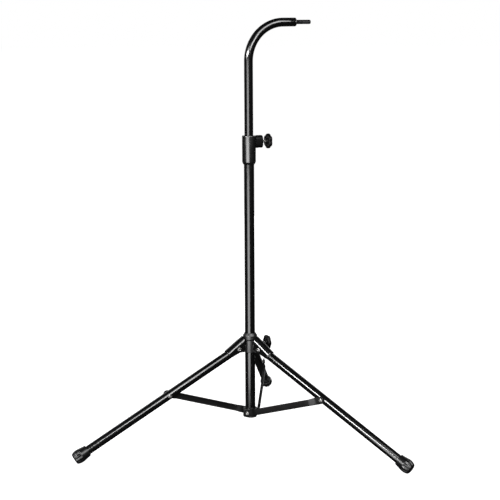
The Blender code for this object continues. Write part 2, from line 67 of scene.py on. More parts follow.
STUD_DEPTH = 10.0 * MM
CLUTCH_CHAMFER = 5.4 * MM
CLUTCH_BOSS_HEIGHT = 27.0 * MM
CLUTCH_BOSS_WIDTH = 20.0 * MM
KNOB_LOBES = 6
COLLAR_R = 13.2 * MM
COLLAR_BOSS_R = 7.8 * MM
COLLAR_BOSS_REACH = 26.0 * MM
COLLAR_NECK_R = 12.4 * MM
LUG_WIDTH = 17.0 * MM
LUG_R = 8.0 * MM
LEG_AZIMUTHS = (180.0, 300.0, 60.0)
LEG_R = 9.5 * MM
LEG_LENGTH = 424.0 * MM  # pivot to the foot's end face
PIVOT_REACH = 30.0 * MM  # mast axis to the leg's pivot
BRACKET_LENGTH = 27.0 * MM  # beyond the pivot
BRACKET_WALL = 1.7 * MM
BRACKET_RISE = 6.7 * MM  # of its roof, from the mouth to the mast end
FOOT_LENGTH = 33.0 * MM
FOOT_RIBS = 12
FOOT_FLOOR = 3.3 * MM
HUB_R = 16.0 * MM
HUB_FLAT = 14.3 * MM  # mast axis to a flat that a strut lies on
HUB_FLOOR = 2.3 * MM
STRUT_SHEET = 1.8 * MM
STRUT_HALF_WIDTH = 7.0 * MM
STRUT_FLANGE = 2.7 * MM
TAB_R = 8.0 * MM
HUB_TAB_FACE = 16.6 * MM  # outer faces, measured sideways from the leg's middle plane
STRUT_FACE = 19.1 * MM
LEG_TAB_FACE = 13.6 * MM

# Camera
CAMERA_PLACE = (-1.1352, -2.5368)  # from the mast's axis
CAMERA_HEIGHT = 0.938
CAMERA_HEADING = Vector((0.40881, 0.91262, 0))
CAMERA_PITCH = radians(10.487)  # below the horizontal
CAMERA_ROLL = radians(-0.32)
CAMERA_LENS = 93.93
CAMERA_SENSOR = 36  # mm

# Light: azimuth and elevation in degrees as seen from the target, size in metres, power in watts
LIGHT_DISTANCE = 3.0
LIGHT_TARGET_HEIGHT = 0.4
SOFTBOXES = {
    "left_softbox": (206, 21, (1.7, 0.35), 48),
    "front_softbox": (256, 24.5, (1.7, 0.35), 15),
    "low_softbox": (226, -12, (2.5, 2.0), 29),
    "upper_softbox": (274, 41, (1.9, 1.2), 22),
    "far_softbox": (302, 30, (0.9, 0.9), 8),
    "back_softbox": (52, 6, (1.6, 2.8), 16),
    "side_softbox": (100, 8, (1.0, 2.8), 8),
}
AMBIENT_STRENGTH = 0.012
FLOOR_R = 30
FLOOR_DROP = 0.05 * MM  # keeps the floor clear of the feet

TO_X = Matrix.Rotation(pi / 2, 4, "Y")  # turns a piece modelled along Z so that it lies along X
TO_Y = Matrix.Rotation(-pi / 2, 4, "X")

RECORD = frame["record"]
JOINTS = {joint["name"]: joint for joint in frame["joints"]}
BODIES = {node: body for body, nodes in RECORD["behaviour"]["bodies"].items() for node in nodes}
SLOTS = {part["node"]: part["material_slot"] for part in RECORD["subparts"]}


def low(node):
    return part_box(node)[0]


def high(node):
    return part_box(node)[1]


def middle(node):
    return (low(node) + high(node)) / 2


MAST = middle("lower_tube")
MAST.z = 0
ON_MAST = Matrix.Translation(MAST)
LOWER_R = high("lower_tube").x - MAST.x
UPPER_R = high("guide_bush").x - MAST.x
HUB_PIVOT = middle("hub_rivet_1")
HUB_REACH = MAST.x - HUB_PIVOT.x


def at_height(z):
    return Matrix.Translation((MAST.x, MAST.y, z))


# Shapes


def soften(corners, cut, steps=3, closed=True):
    """Rounds an outline: each corner gives way to a short curve that starts `cut` before it."""
    rounded = []
    for i, corner in enumerate(corners):
        here = Vector(corner)
        if not closed and i in (0, len(corners) - 1):
            rounded.append(here)
            continue
        back = Vector(corners[i - 1]) - here
        on = Vector(corners[(i + 1) % len(corners)]) - here
        reach = min(cut, back.length * 0.45, on.length * 0.45)
        start, end = here + back.normalized() * reach, here + on.normalized() * reach
        for step in range(steps + 1):
            t = step / steps
            rounded.append(start * (1 - t) ** 2 + here * 2 * t * (1 - t) + end * t**2)
    return rounded


def loft(rings, close=False):
    """Skins a row of rings of as many points each, and caps its ends unless it closes on itself."""
    bm = bmesh.new()
    rows = [[bm.verts.new(point) for point in ring] for ring in rings]
    count = len(rows[0])
    for here, there in zip(rows, rows[1:] + ([rows[0]] if close else [])):
        for i in range(count):
            j = (i + 1) % count
            bm.faces.new((here[i], here[j], there[j], there[i]))
    if not close:
        bm.faces.new(rows[0])
        bm.faces.new(rows[-1])
    return bm


def lathe(profile, segments=96, shape=None):
    """Turns a profile of (radius, height) points about Z. shape(angle, r, z) may change a radius.

    A profile that starts and ends at radius 0 makes a solid. Any other one is joined end to start.
    """
    shape = shape or (lambda angle, r, z: r)
    solid = profile[0][0] == 0
    rings = []
    for r, z in profile[1:-1] if solid else profile:
        turns = (2 * pi * i / segments for i in range(segments))
        rings.append([(shape(a, r, z) * cos(a), shape(a, r, z) * sin(a), z) for a in turns])
    return loft(rings, close=not solid)


def tube(outer, inner, start, end, edge=0.5 * MM, segments=96):
    corners = [(inner, start), (outer, start), (outer, end), (inner, end)]
    return lathe(soften(corners, edge), segments)


def rod(r, start, end, edge=0.5 * MM, segments=64):
    corners = [(0, start), (r, start), (r, end), (0, end)]
    return lathe(soften(corners, edge, closed=False), segments)


def thread(r, pitch, start, end, segments=40, steps=6):
    """A screw thread along Z: its radius follows a helix, and runs out at both ends."""
    depth = 0.55 * pitch
    rings = []
    count = round((end - start) / pitch * steps)
    for level in range(count + 1):
        z = start + (end - start) * level / count
        fade = min(1, (z - start) / pitch, (end - z) / pitch)
        ring = []
        for i in range(segments):
            turn = i / segments
            wave = abs(((z / pitch - turn) % 1) - 0.5) * 2
            here = r - depth * wave * (0.4 + 0.6 * fade) - (1 - fade) * 0.5 * depth
            ring.append((here * cos(2 * pi * turn), here * sin(2 * pi * turn), z))
        rings.append(ring)
    return loft(rings)


def boolean(obj, other, operation):
    """Joins or cuts obj with other, applies it, and removes the other."""
    change = obj.modifiers.new("change", "BOOLEAN")
    change.operation = operation
    change.solver = "EXACT"
    change.object = other
    graph = bpy.context.evaluated_depsgraph_get()
    graph.update()
    done = bpy.data.meshes.new_from_object(obj.evaluated_get(graph))
    obj.modifiers.clear()
    old, obj.data = obj.data, done
    bpy.data.meshes.remove(old)
    bpy.data.objects.remove(other)


def new_object(bm, name, matrix=None):
    if matrix:
        bmesh.ops.transform(bm, matrix=matrix, verts=bm.verts)
    bmesh.ops.recalc_face_normals(bm, faces=bm.faces)
    mesh = bpy.data.meshes.new(name)
    bm.to_mesh(mesh)
    bm.free()
    obj = bpy.data.objects.new(name, mesh)
    bpy.context.scene.collection.objects.link(obj)
    return obj


def stand_for(obj, node, sharp=35):
    """Shades a finished piece, and puts it in the node's place with its material and body."""
    mesh = obj.data
    mesh.materials.clear()
    mesh.materials.append(finish_of(node))
    mesh.shade_smooth()
    mesh.set_sharp_from_angle(angle=radians(sharp))
    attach(obj, BODIES[node])
    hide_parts(node)
    return obj


def piece(bm, node, matrix=None, sharp=35):
    return stand_for(new_object(bm, f"fine_{node}", matrix), node, sharp)


# Materials


def new_material(name, colour, roughness, metallic=0.0, level=0.5, ior=1.5):
    """A Principled material, a function that adds a node, and one that joins it to the surface."""
    made = bpy.data.materials.new(name)
    made.use_nodes = True
    surface = made.node_tree.nodes["Principled BSDF"]
    surface.inputs["Base Color"].default_value = (*colour, 1)
    surface.inputs["Roughness"].default_value = roughness
    surface.inputs["Metallic"].default_value = metallic
    surface.inputs["Specular IOR Level"].default_value = level
    surface.inputs["IOR"].default_value = ior

    def add(kind, inputs=None, **settings):
        node = made.node_tree.nodes.new(kind)
        for key, value in settings.items():
            setattr(node, key, value)
        for key, value in (inputs or {}).items():
            if isinstance(value, bpy.types.NodeSocket):
                made.node_tree.links.new(value, node.inputs[key])
            else:
                node.inputs[key].default_value = value
        return node

    def join(output, socket):
        made.node_tree.links.new(output, surface.inputs[socket])

    return made, add, join


def noise(add, scale, detail=2.0, roughness=0.5):
    place = add("ShaderNodeTexCoord").outputs["Object"]
    inputs = {"Vector": place, "Scale": scale, "Detail": detail, "Roughness": roughness}
    return add("ShaderNodeTexNoise", inputs).outputs["Fac"]


def spread(add, value, from_low, from_high, to_low, to_high):
    """Maps a value from one range onto another, clamped."""
    inputs = {"Value": value, 1: from_low, 2: from_high, 3: to_low, 4: to_high}
    return add("ShaderNodeMapRange", inputs).outputs["Result"]


def mottle(add, scale, detail, least, most):
    """Noise that wanders between two values."""
    return spread(add, noise(add, scale, detail), 0.3, 0.7, least, most)


def blend_colour(add, factor, first, second):
    mix = add("ShaderNodeMix", {"Factor": factor}, data_type="RGBA")
    for key, colour in ((6, first), (7, second)):
        if isinstance(colour, bpy.types.NodeSocket):
            mix.id_data.links.new(colour, mix.inputs[key])
        else:
            mix.inputs[key].default_value = (*colour, 1)
    return mix.outputs[2]


def bump(add, height, distance, strength=1.0):
    inputs = {"Height": height, "Distance": distance, "Strength": strength}
    return add("ShaderNodeBump", inputs).outputs["Normal"]


def worn_edges(add, start=0.53, end=0.6):
    """1 on convex edges, broken up, and 0 elsewhere."""
    point = add("ShaderNodeNewGeometry").outputs["Pointiness"]
    edge = spread(add, point, start, end, 0, 1)
    patchy = spread(add, noise(add, 90, 4), 0.45, 0.6, 0, 1)
    return add("ShaderNodeMath", {0: edge, 1: patchy}, operation="MULTIPLY").outputs[0]


def powder_coat(name, roughness, level):
    """Black powder coat: fine orange peel, faint handling marks and edges rubbed slightly grey."""
    colour = (0.002, 0.002, 0.0022)
    made, add, join = new_material(name, colour, roughness, level=level, ior=1.8)
    haze = spread(add, noise(add, 30, 5, 0.6), 0.35, 0.7, 0, 1)
    dusty = blend_colour(add, haze, (0.0015, 0.0015, 0.0017), (0.003, 0.003, 0.0032))
    join(blend_colour(add, worn_edges(add), dusty, (0.012, 0.012, 0.0125)), "Base Color")
    join(mottle(add, 55, 4, roughness - 0.02, roughness + 0.03), "Roughness")
    join(bump(add, noise(add, 900, 3), 0.002 * MM, 0.5), "Normal")
    return made


def moulded(name, colour, roughness, grain, level=0.5, ior=1.5):
    """Moulded plastic: the mould's fine grain, slight flow marks and a slightly uneven gloss."""
    made, add, join = new_material(name, colour, roughness, level=level, ior=ior)
    darker, lighter = [c * 0.8 for c in colour], [c * 1.35 for c in colour]
    flow = mottle(add, 45, 3, 0, 1)
    join(blend_colour(add, flow, darker, lighter), "Base Color")
    join(mottle(add, 120, 3, roughness - 0.015, roughness + 0.015), "Roughness")
    join(bump(add, noise(add, 2600, 2), grain, 0.6), "Normal")
    return made


def rubber():
    """Black rubber: slightly porous, and dusty grey where it has rubbed on the floor."""
    made, add, join = new_material("rubber", (0.004, 0.004, 0.0043), 0.28, level=0.85, ior=1.6)
    place = add("ShaderNodeTexCoord").outputs["Object"]
    height = add("ShaderNodeSeparateXYZ", {"Vector": place}).outputs["Z"]
    near_floor = spread(add, height, 0.0, 7 * MM, 1, 0)
    patchy = spread(add, noise(add, 260, 5, 0.65), 0.4, 0.65, 0, 1)
    dust = add("ShaderNodeMath", {0: near_floor, 1: patchy}, operation="MULTIPLY").outputs[0]
    join(blend_colour(add, dust, (0.005, 0.005, 0.0053), (0.03, 0.029, 0.028)), "Base Color")
    join(mottle(add, 300, 4, 0.26, 0.36), "Roughness")
    join(bump(add, noise(add, 1500, 4, 0.6), 0.02 * MM, 0.5), "Normal")
    return made


def zinc():
    """Bright zinc-plated steel with fine turning marks and a slight change of tint."""
    made, add, join = new_material("zinc", (0.62, 0.61, 0.59), 0.3, metallic=1.0)
    tint = mottle(add, 350, 4, 0, 1)
    join(blend_colour(add, tint, (0.5, 0.49, 0.47), (0.72, 0.71, 0.7)), "Base Color")
    join(mottle(add, 900, 3, 0.2, 0.38), "Roughness")
    join(bump(add, noise(add, 3200, 2), 0.01 * MM, 0.6), "Normal")
    return made


def black_oxide():
    """Blackened steel whose thread crests are worn a little brighter."""
    made, add, join = new_material("black_oxide", (0.03, 0.03, 0.032), 0.38, metallic=0.7)
    worn = worn_edges(add, 0.52, 0.62)
    join(blend_colour(add, worn, (0.022, 0.022, 0.024), (0.1, 0.098, 0.095)), "Base Color")
    join(mottle(add, 800, 3, 0.32, 0.5), "Roughness")
    return made


MATERIALS = {
    "black_powder_coat": powder_coat("powder_coat", 0.18, 1.0),
    "gloss_black_plastic": moulded(
        "gloss_plastic", (0.002, 0.002, 0.0022), 0.24, 0.002 * MM, level=1.0, ior=2.2
    ),
    "matte_black_plastic": moulded(
        "matte_plastic", (0.003, 0.003, 0.0032), 0.46, 0.012 * MM, level=0.35
    ),
    "black_rubber": rubber(),
    "bright_steel": zinc(),
    "blackened_steel": black_oxide(),
}
SATIN = moulded("satin_plastic", (0.004, 0.004, 0.0042), 0.4, 0.006 * MM, level=1.0, ior=1.8)
DULL_COAT = powder_coat("dull_powder_coat", 0.42, 0.45)
# Pieces whose finish isn't that of the others with their slot
OWN_FINISH = {node: SATIN for node in ("collar_body", "collar_ring", "bottom_hub", "arm_end_plug")}
OWN_FINISH.update({f"strut_{number}": DULL_COAT for number in (1, 2, 3)})


def finish_of(node):
    return OWN_FINISH.get(node, MATERIALS[SLOTS[node]])


def dress_frame():
    """Gives every CAD node its finished material."""
    for name, node in frame["nodes"].items():
        node.data.materials.clear()
        node.data.materials.append(finish_of(name))


# The mast, its clutch and the swan-neck arm


def eased(t):
    """0 to 1 with a gentle start and end; clamped."""
    t = max(0.0, min(1.0, t))
    return t * t * (3 - 2 * t)


def swept_tube(stations, r, sides=64):
    """A tube through (centre, turn) stations in the plane Y = 0.

    `turn` is how far it has bent from +Z to +X.
    """
    edge = 0.5 * MM

    def ring(centre, turn, radius, along):
        across = Vector((cos(turn), 0, -sin(turn)))
        ahead = Vector((sin(turn), 0, cos(turn)))
        turns = (2 * pi * i / sides for i in range(sides))
        spokes = (cos(a) * across + sin(a) * Vector((0, 1, 0)) for a in turns)
        return [centre + along * ahead + radius * spoke for spoke in spokes]

    def wall(radius, sign):
        start, end = stations[0], stations[-1]
        rim = [
            (radius - sign * edge, 0),
            (radius - sign * edge * 0.3, edge * 0.3),
            (radius, edge),
        ]
        first = [ring(*start, inset, along) for inset, along in rim]
        last = [ring(*end, inset, -along) for inset, along in reversed(rim)]
        return first + [ring(centre, turn, radius, 0) for centre, turn in stations[1:-1]] + last

    return loft(wall(r, 1) + wall(r - TUBE_WALL, -1)[::-1], close=True)


def make_mast():
    tube_low, tube_high = low("lower_tube").z, high("lower_tube").z
    piece(tube(LOWER_R, LOWER_R - TUBE_WALL, tube_low, tube_high), "lower_tube", ON_MAST)

    faces = [radians(azimuth - 90) for azimuth in LEG_AZIMUTHS]
    bottom, top = low("bottom_hub").z, high("bottom_hub").z
    bore = LOWER_R + GAP

    def flattened(angle, r, z):
        if r < bore + 1 * MM:
            return r
        reach = r - HUB_R + HUB_FLAT
        return min(r, *(reach / max(cos(angle - face), 0.01) for face in faces))

    outside = [(0, bottom), (HUB_R, bottom), (HUB_R, top), (bore, top)]
    inside = [(bore, bottom + HUB_FLOOR), (0, bottom + HUB_FLOOR)]
    profile = soften(outside, 1.6 * MM, 6, closed=False) + inside
    piece(lathe(profile, 216, flattened), "bottom_hub", ON_MAST, sharp=30)


def make_arm():
    tube_low, tube_high = low("arm_tube"), high("arm_tube")
    height = tube_high.z - UPPER_R
    start = height - ARM_BEND_R
    steps = 64
    stations = [(Vector((0, 0, tube_low.z)), 0.0), (Vector((0, 0, start - 40 * MM)), 0.0)]
    for step in range(steps + 1):
        turn = step / steps * pi / 2
        centre = Vector((ARM_BEND_R * (1 - cos(turn)), 0, start + ARM_BEND_R * sin(turn)))
        stations.append((centre, turn))
    stations.append((Vector((tube_high.x - MAST.x, 0, height)), pi / 2))
    piece(swept_tube(stations, UPPER_R), "arm_tube", ON_MAST, sharp=30)

    end = Matrix.Translation((tube_high.x, 0, height)) @ TO_X
    inner = UPPER_R - TUBE_WALL - GAP
    stud_r = middle("arm_stud").z - low("arm_stud").z
    bore = stud_r + GAP
    shoulder = UPPER_R - 0.2 * MM
    face = 2.1 * MM
    outline = [(inner, GAP), (shoulder, GAP), (shoulder, face), (bore, face)]
    rim = soften(outline, 1.5 * MM, 8, closed=False)
    piece(lathe([(bore, -PLUG_DEPTH), (inner, -PLUG_DEPTH)] + rim, 96), "arm_end_plug", end)
    reach = high("arm_stud").x - tube_high.x
    stud = thread(stud_r, STUD_PITCH, -STUD_DEPTH, reach, segments=48, steps=8)
    piece(stud, "arm_stud", end, sharp=50)


def rounded_rectangle(width, height, corner, level, steps=8):
    points = []
    for quarter in range(4):
        cx = (width / 2 - corner) * (1 if quarter in (0, 3) else -1)
        cy = (height / 2 - corner) * (1 if quarter in (0, 1) else -1)
        for step in range(steps + 1):
            angle = (quarter + step / steps) * pi / 2
            points.append(Vector((cx + corner * cos(angle), cy + corner * sin(angle), level)))
    return points


def drill(obj, r, start, end, matrix, segments=64):
    cutter = new_object(rod(r, start, end, 0.02 * MM, segments), "drill", matrix)
    boolean(obj, cutter, "DIFFERENCE")


def nut_pocket(obj, nut, drop):
    """Cuts the slot that a nut slides up into. `drop` is how far below the nut it is still open."""
    centre = middle(nut)
    half_flats = NUT_FLATS / 2 + GAP
    tip = half_flats / cos(pi / 6)
    half = NUT_THICKNESS / 2 + GAP
    outline = [
        (-half_flats, -drop),
        (half_flats, -drop),
        (half_flats, tip / 2),
        (0, tip),
        (-half_flats, tip / 2),
    ]
    rings = [[Vector((x, y, z)) for y, z in outline] for x in (-half, half)]
    boolean(obj, new_object(loft(rings), "pocket", Matrix.Translation(centre)), "DIFFERENCE")


def make_nut(node):
    """A hexagon nut: its flats cut into a turned, chamfered disc."""
    half = NUT_THICKNESS / 2
    corner = NUT_FLATS / 2 / cos(pi / 6)

    def hexagonal(angle, r, z):
        return min(r, NUT_FLATS / 2 / cos((angle % (pi / 3)) - pi / 6))

    bore = SCREW_R + GAP
    face = NUT_FLATS / 2 - 0.3 * MM
    chamfer = 0.6 * MM
    profile = [
        (bore, half),
        (bore, -half),
        (face, -half),
        (corner, chamfer - half),
        (corner, half - chamfer),
        (face, half),
    ]
    piece(lathe(profile, 96, hexagonal), node, Matrix.Translation(middle(node)) @ TO_X, sharp=25)


def make_clutch():
    bottom, top = low("clutch_body").z, high("clutch_body").z
    r = MAST.x - low("clutch_body").x
    seat = high("lower_tube").z + GAP
    upper_bore, lower_bore = UPPER_R + GAP, LOWER_R + GAP
    outside = [
        (lower_bore, bottom),
        (r - 2.5 * MM, bottom),
        (r, bottom + CLUTCH_CHAMFER),
        (r, top),
        (upper_bore, top),
    ]
    inside = [(upper_bore, seat), (lower_bore, seat)]
    profile = soften(outside, 1.1 * MM, 5, closed=False) + inside
    body = new_object(lathe(profile, 144), "fine_clutch_body", ON_MAST)
    height = middle("clutch_nut").z
    reach = high("clutch_body").x - MAST.x
    levels = [
        (lower_bore + 1.5 * MM, 0),
        (reach - 1.2 * MM, 0),
        (reach - 0.7 * MM, 0.15),
        (reach - 0.3 * MM, 0.45),
        (reach, 1.1),
    ]
    rings = []
    for level, inset in levels:
        shrink = 2 * inset * MM
        tall, wide = CLUTCH_BOSS_HEIGHT - shrink, CLUTCH_BOSS_WIDTH - shrink
        rings.append(rounded_rectangle(tall, wide, 8 * MM - shrink / 2, level))
    station = at_height(height) @ TO_X
    boolean(body, new_object(loft(rings), "boss", station), "UNION")
    nut_pocket(body, "clutch_nut", CLUTCH_BOSS_HEIGHT)
    drill(body, SCREW_R + GAP, lower_bore - 3 * MM, reach + 5 * MM, station)
    stand_for(body, "clutch_body", sharp=28)
    # The boss has a duller, textured finish than the sleeve that it stands out of.
    body.data.materials.append(MATERIALS["matte_black_plastic"])
    for face in body.data.polygons:
        face.material_index = 1 if face.center.x > MAST.x + r else 0
    make_nut("clutch_nut")


def make_knob(name, turned):
    """A lobed hand knob with a dished face and a neck towards the clamp, on its threaded screw.

    `turned` is a lobe's angle from the vertical: at 0 the knob is widest along Z, and at half
    a lobe along Y.
    """
    neck, neck_r = 2.6 * MM, 6.0 * MM
    t = high(name).x - low(name).x - neck
    r = (high(name).z - low(name).z) / 2
    if turned:
        r = (high(name).y - low(name).y) / 2
    place = Vector((low(name).x + neck, middle(name).y, middle(name).z))
    depth = 1.7 * MM
    round_r = 9.4 * MM

    def lobed(angle, radius, z):
        share = eased((radius - round_r) / (r - round_r - 2.5 * MM))
        return radius - share * depth * (0.5 - 0.5 * cos(KNOB_LOBES * (angle - turned))) ** 1.5

    outline = [
        (0, 6 * MM),
        (SCREW_R + GAP, 6 * MM),
        (SCREW_R + GAP, -neck),
        (neck_r, -neck),
        (neck_r + 0.4 * MM, 1.2 * MM),
        (r - 4.2 * MM, 1.9 * MM),
        (r - 3.4 * MM, 0.2 * MM),
        (r - 0.8 * MM, 0.5 * MM),
        (r, 2.6 * MM),
        (r, t - 2.4 * MM),
        (r - 0.9 * MM, t - 0.5 * MM),
        (r - 3.0 * MM, t),
        (9.8 * MM, t - 0.1 * MM),
        (9.0 * MM, t - 1.3 * MM),
        (4.4 * MM, t - 1.0 * MM),
        (3.8 * MM, t - 0.5 * MM),
        (0, t - 0.5 * MM),
    ]
    profile = soften(outline, 0.9 * MM, 4, closed=False)
    matrix = Matrix.Translation(place) @ TO_X
    piece(lathe(profile, 40 * KNOB_LOBES, lobed), name, matrix, sharp=40)
    screw = f"{name}_screw"
    start, end = low(screw).x - place.x, high(screw).x - place.x
    piece(thread(SCREW_R, SCREW_PITCH, start, end), screw, matrix, sharp=50)


# The tripod


def slab(outline, half, edge, steps=4):
    """A plate across Y with rounded rims. `outline` gives its (x, z) points at an inset."""
    rings = []
    for side in (1, -1):
        turns = range(steps, -1, -1) if side > 0 else range(steps + 1)
        for step in turns:
            angle = step / steps * pi / 2
            y = side * (half - edge * (1 - sin(angle)))
            rings.append([Vector((x, y, z)) for x, z in outline(edge * (1 - cos(angle)))])
    return loft(rings)


def make_collar():
    bottom, top = low("collar_body").z, high("collar_body").z
    ring_low, ring_high = low("collar_ring").z, high("collar_ring").z
    bore = LOWER_R + GAP
    shelf = ring_low - GAP
    outside = [
        (bore, bottom),
        (COLLAR_R, bottom),
        (COLLAR_R, shelf),
        (COLLAR_NECK_R, shelf),
        (COLLAR_NECK_R, top),
        (bore, top),
    ]
    body = new_object(lathe(soften(outside, 0.8 * MM, 4), 144), "fine_collar_body", ON_MAST)
    root = bore + 1 * MM  # where the lugs and the boss start, inside the sleeve's wall
    pivot_z = LEGS[1][0].translation.z
    for azimuth in LEG_AZIMUTHS:

        def outline(inset):
            arc = (radians(-90 + 9 * step) for step in range(21))
            r = LUG_R - inset
            points = [(PIVOT_REACH + r * cos(a), r * sin(a)) for a in arc]
            return points + [(root, r), (root, inset - LUG_R)]

        station = at_height(pivot_z) @ Matrix.Rotation(radians(azimuth), 4, "Z")
        boolean(body, new_object(slab(outline, LUG_WIDTH / 2, 1.0 * MM), "lug", station), "UNION")
        pivot = station @ Matrix.Translation((PIVOT_REACH, 0, 0)) @ TO_Y
        drill(body, RIVET_R + GAP, -12 * MM, 12 * MM, pivot, 32)
    station = at_height(middle("collar_nut").z) @ TO_X
    boss = rod(COLLAR_BOSS_R, root, COLLAR_BOSS_REACH, 1.2 * MM, 96)
    boolean(body, new_object(boss, "boss", station), "UNION")
    nut_pocket(body, "collar_nut", 14 * MM)
    drill(body, SCREW_R + GAP, bore - 3 * MM, COLLAR_BOSS_REACH + 5 * MM, station)
    stand_for(body, "collar_body", sharp=28)
    make_nut("collar_nut")

    r = high("collar_ring").x - MAST.x
    outline = [
        (COLLAR_NECK_R + GAP, ring_low),
        (COLLAR_R - 0.5 * MM, ring_low),
        (r, ring_low + 2.2 * MM),
        (r, ring_high - 5.6 * MM),
        (bore + 0.7 * MM, ring_high),
        (bore, ring_high),
        (bore, top + GAP),
        (COLLAR_NECK_R + GAP, top + GAP),
    ]
    piece(lathe(soften(outline, 0.8 * MM, 5), 144), "collar_ring", ON_MAST, sharp=30)


def make_rivet(node, start, end, matrix, head_at_end=True):
    """A rivet along Y: each head is a low dome with a dimple, on the faces at `start` and `end`."""

    def head(face, away):
        outline = [
            (0, face + away * (RIVET_HEAD - 0.9 * MM)),
            (0.7 * MM, face + away * (RIVET_HEAD - 0.8 * MM)),
            (1.3 * MM, face + away * RIVET_HEAD),
            (RIVET_HEAD_R * 0.6, face + away * RIVET_HEAD),
            (RIVET_HEAD_R * 0.97, face + away * RIVET_HEAD * 0.65),
            (RIVET_HEAD_R, face),
            (RIVET_R, face),
        ]
        return soften(outline, 0.5 * MM, 4, closed=False)

    tail = head(end, 1)[::-1] if head_at_end else [(RIVET_R, end), (0, end)]
    piece(lathe(head(start, -1) + tail, 64), node, matrix @ TO_Y, sharp=40)


def make_bracket(node, matrix):
    """A channel over the leg's top end. Its cheeks straddle a lug, and its roof rises inwards."""
    outer, inner = LEG_R + GAP + BRACKET_WALL, LEG_R + GAP
    keys = [
        (BRACKET_LENGTH, 0.0, 5.0 * MM, 0.0),
        (0.0, BRACKET_RISE * 0.6, 7.0 * MM, 0.0),
        (-12.0 * MM, BRACKET_RISE, 8.0 * MM, 11.0 * MM),
    ]

    def section(along, rise, drop, lean, inset):
        arc = [pi * step / 40 for step in range(41)]
        lip = 0.25 * MM
        points = [((outer - inset) * cos(a), rise + (outer - inset) * sin(a)) for a in arc]
        points += [
            (inset - outer, -drop + lip),
            (inset + lip - outer, inset - drop),
            (-inner - lip, inset - drop),
            (-inner, -drop + lip),
        ]
        points += [(inner * cos(a), rise + inner * sin(a)) for a in reversed(arc)]
        points += [
            (inner, -drop + lip),
            (inner + lip, inset - drop),
            (outer - inset - lip, inset - drop),
            (outer - inset, -drop + lip),
        ]
        tall = rise + outer + drop
        return [Vector((along - lean * (z + drop) / tall, y, z)) for y, z in points]

    rings = []
    steps = 8
    for first, second in zip(keys, keys[1:]):
        for step in range(steps + (second is keys[-1])):
            t = step / steps
            rings.append([a * (1 - t) + b * t for a, b in zip(first, second)])
    plain = [section(*ring, 0) for ring in rings[1:-1]]
    edge = 0.35 * MM
    rim = [(0, edge), (0.1 * MM, 0.1 * MM), (edge, 0)]
    (first, *mouth), (last, *end) = rings[0], rings[-1]
    front = [section(first - along, *mouth, inset) for along, inset in rim]
    back = [section(last + along, *end, inset) for along, inset in reversed(rim)]
    piece(loft(front + plain + back), node, matrix, sharp=35)


def make_foot(node, matrix):
    """A rubber cap with a plain, flaring mouth, then ribs down to its end.

    It is flattened where it meets the floor.
    """
    bore = LEG_R + GAP
    rib_start = FOOT_LENGTH - 16.5 * MM

    def ribbed(angle, r, z):
        if r <= bore or (z <= 0 and r < 9 * MM):
            return r
        share = eased((rib_start - z) / (1.8 * MM)) * (0.55 + 0.45 * eased(z / (4 * MM)))
        return r - 1.3 * MM * share * (0.5 - 0.5 * cos(FOOT_RIBS * angle)) ** 0.8

    outline = [
        (0, FOOT_FLOOR),
        (bore, FOOT_FLOOR),
        (bore, FOOT_LENGTH),
        (12.2 * MM, FOOT_LENGTH),
        (12.3 * MM, FOOT_LENGTH - 1.6 * MM),
        (13.3 * MM, FOOT_LENGTH - 9 * MM),
        (14.5 * MM, FOOT_LENGTH - 16 * MM),
        (14.8 * MM, FOOT_LENGTH - 18.5 * MM),
        (14.8 * MM, 10.0 * MM),
        (13.8 * MM, 5.0 * MM),
        (12.0 * MM, 0.8 * MM),
        (10.8 * MM, 0),
        (0, 0),
    ]
    corners = soften(outline, 1.0 * MM, 4, closed=False)
    profile = [corners[0]]
    for here, there in zip(corners, corners[1:]):
        parts = max(1, round((there - here).length / (1.0 * MM))) if here.x > bore else 1
        profile += [here + (there - here) * step / parts for step in range(1, parts + 1)]
    along_leg = Matrix.Translation((LEG_LENGTH, 0, 0)) @ Matrix.Rotation(-pi / 2, 4, "Y")
    foot = new_object(lathe(profile, 16 * FOOT_RIBS, ribbed), f"fine_{node}", matrix @ along_leg)
    for vertex in foot.data.vertices:
        vertex.co.z = max(vertex.co.z, 0)
    stand_for(foot, node, sharp=50)


def make_strut(node, matrix, length):
    """A pressed channel with flat tabs set in at both ends. Its origin is its pivot on the leg."""
    flat = 0.1 * MM
    hub, wide = -length, STRUT_HALF_WIDTH

    def section(along, face, half_width, flange):
        web = face - STRUT_SHEET
        lip = min(STRUT_SHEET, half_width * 0.4)
        inside, edge = half_width - lip, web - flange
        points = [
            (face, -half_width),
            (face, half_width),
            (edge, half_width),
            (edge, inside),
            (web, inside),
            (web, -inside),
            (edge, -inside),
            (edge, -half_width),
        ]
        rounded = soften(points, min(0.7 * MM, half_width * 0.3), 3)
        return [Vector((along, -out, up)) for out, up in rounded]

    def tab_end(pivot, side, face):
        turns = [radians(8 * step) for step in range(11)]
        return [
            section(pivot + side * TAB_R * sin(a), face, TAB_R * cos(a), flat) for a in turns
        ]

    keys = [
        (hub + 13 * MM, HUB_TAB_FACE, TAB_R, flat),
        (hub + 26 * MM, STRUT_FACE, wide, STRUT_FLANGE),
        (-29 * MM, STRUT_FACE, wide, STRUT_FLANGE),
        (-11 * MM, LEG_TAB_FACE, TAB_R, flat),
    ]
    steps = 12
    rings = [*reversed(tab_end(hub, -1, HUB_TAB_FACE))]
    for first, second in zip(keys, keys[1:]):
        for step in range(steps + (second is keys[-1])):
            t = step / steps
            along = first[0] * (1 - t) + second[0] * t
            rest = [a * (1 - eased(t)) + b * eased(t) for a, b in zip(first[1:], second[1:])]
            rings.append(section(along, *rest))
    rings += tab_end(0, 1, LEG_TAB_FACE)
    piece(loft(rings), node, matrix, sharp=35)


